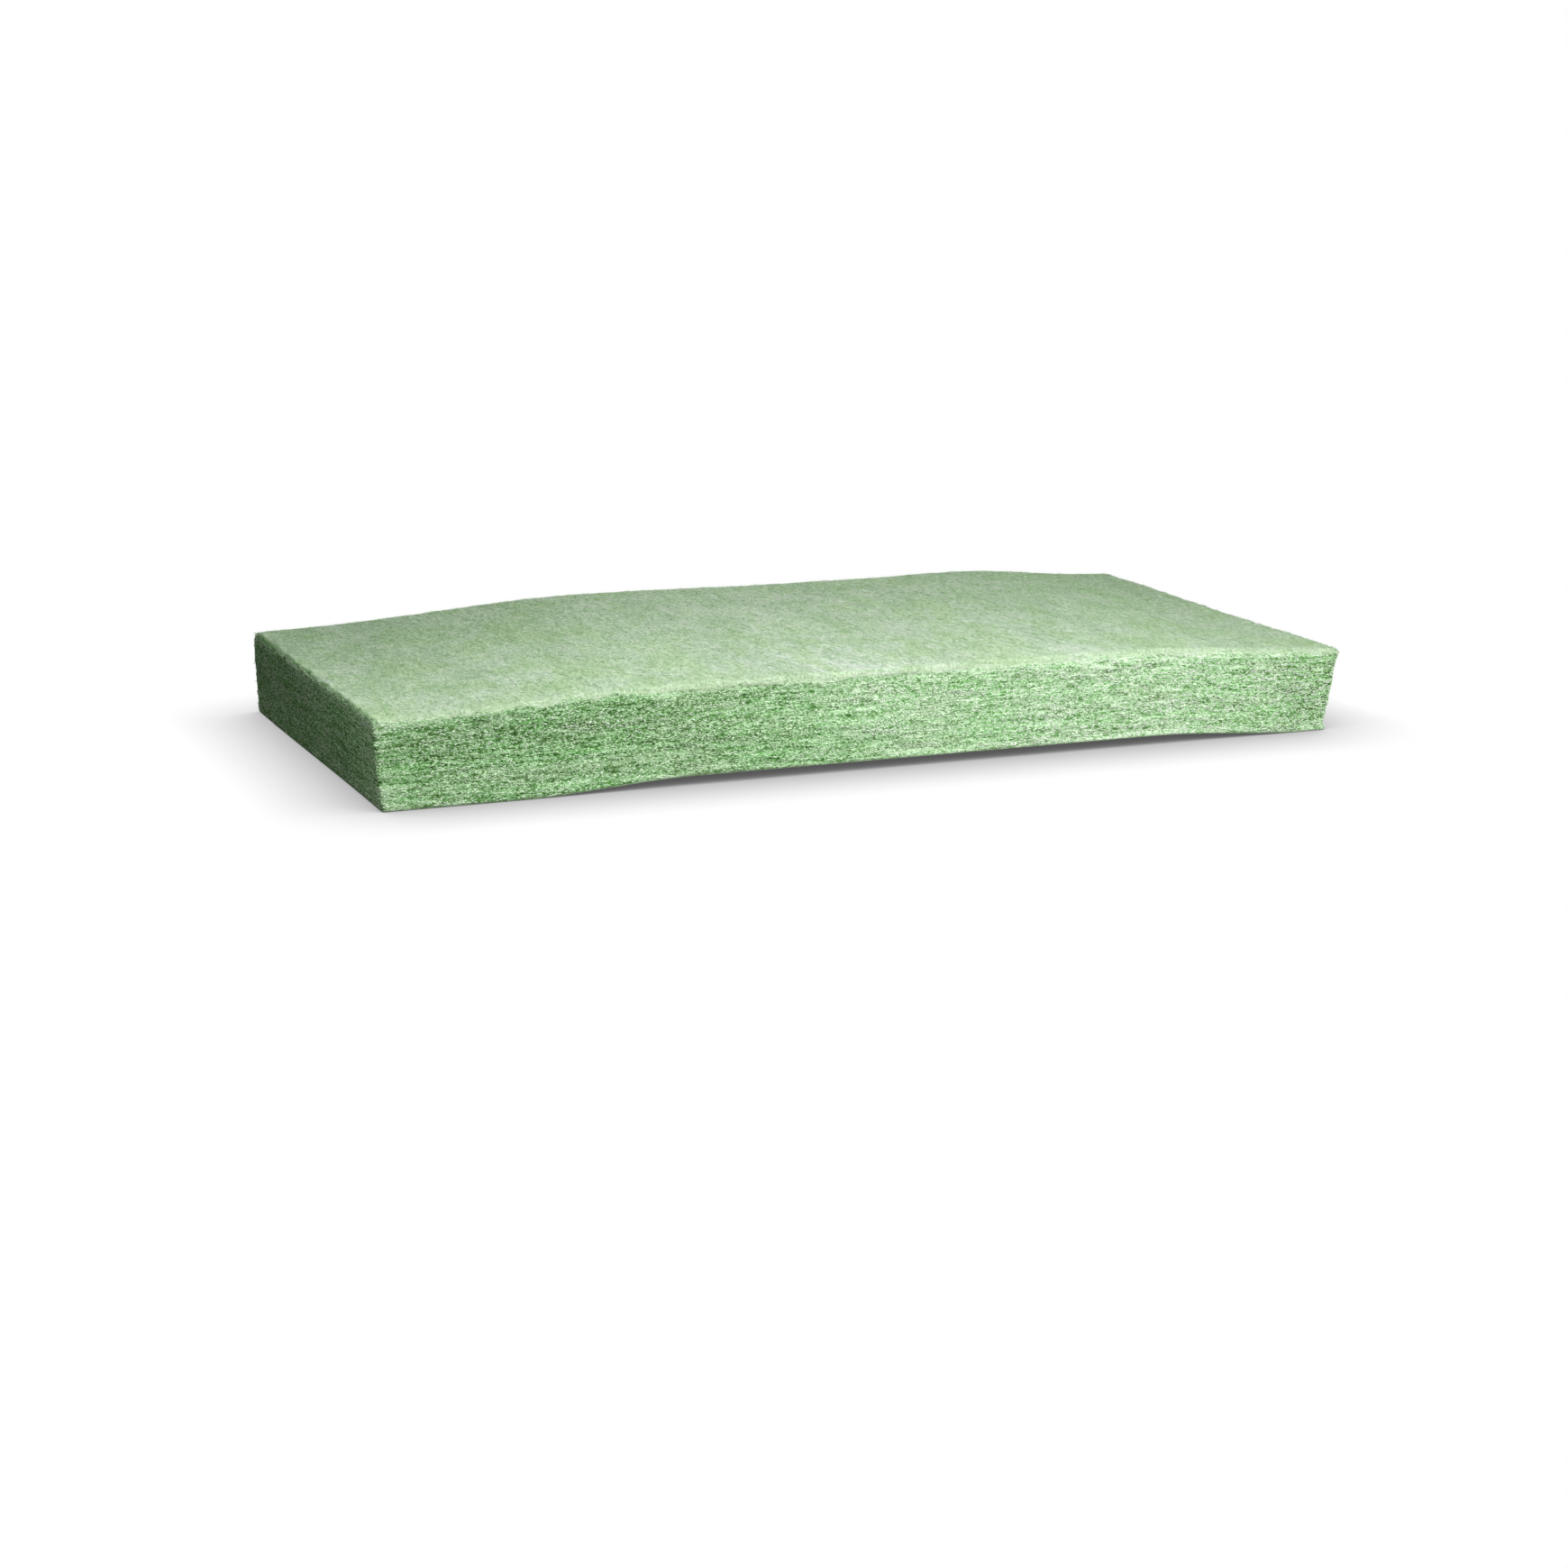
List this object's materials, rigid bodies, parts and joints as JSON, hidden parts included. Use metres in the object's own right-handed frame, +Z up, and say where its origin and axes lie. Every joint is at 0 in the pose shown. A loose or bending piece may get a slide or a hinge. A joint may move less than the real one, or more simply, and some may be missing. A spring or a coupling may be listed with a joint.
{
  "type": "polyester insulation batt",
  "caption": "Rectangular slab of bonded polyester fibre that fits by friction between wall studs or joists to hold back heat and sound.",
  "frame": {"origin": "middle of the flat underside, which rests on the floor", "axes": "+X along the length towards the end with the deeper undercut, +Y across the width, +Z up through the thickness"},
  "size_m": [1.16, 0.58, 0.1209],
  "materials": {
    "polyester_fibre": "matt pale green fibre: a smooth felted skin on the two faces, open laminated fibre on the four cut edges"
  },
  "bodies": {
    "root": {"batt": "polyester_fibre"}
  },
  "joints": []
}
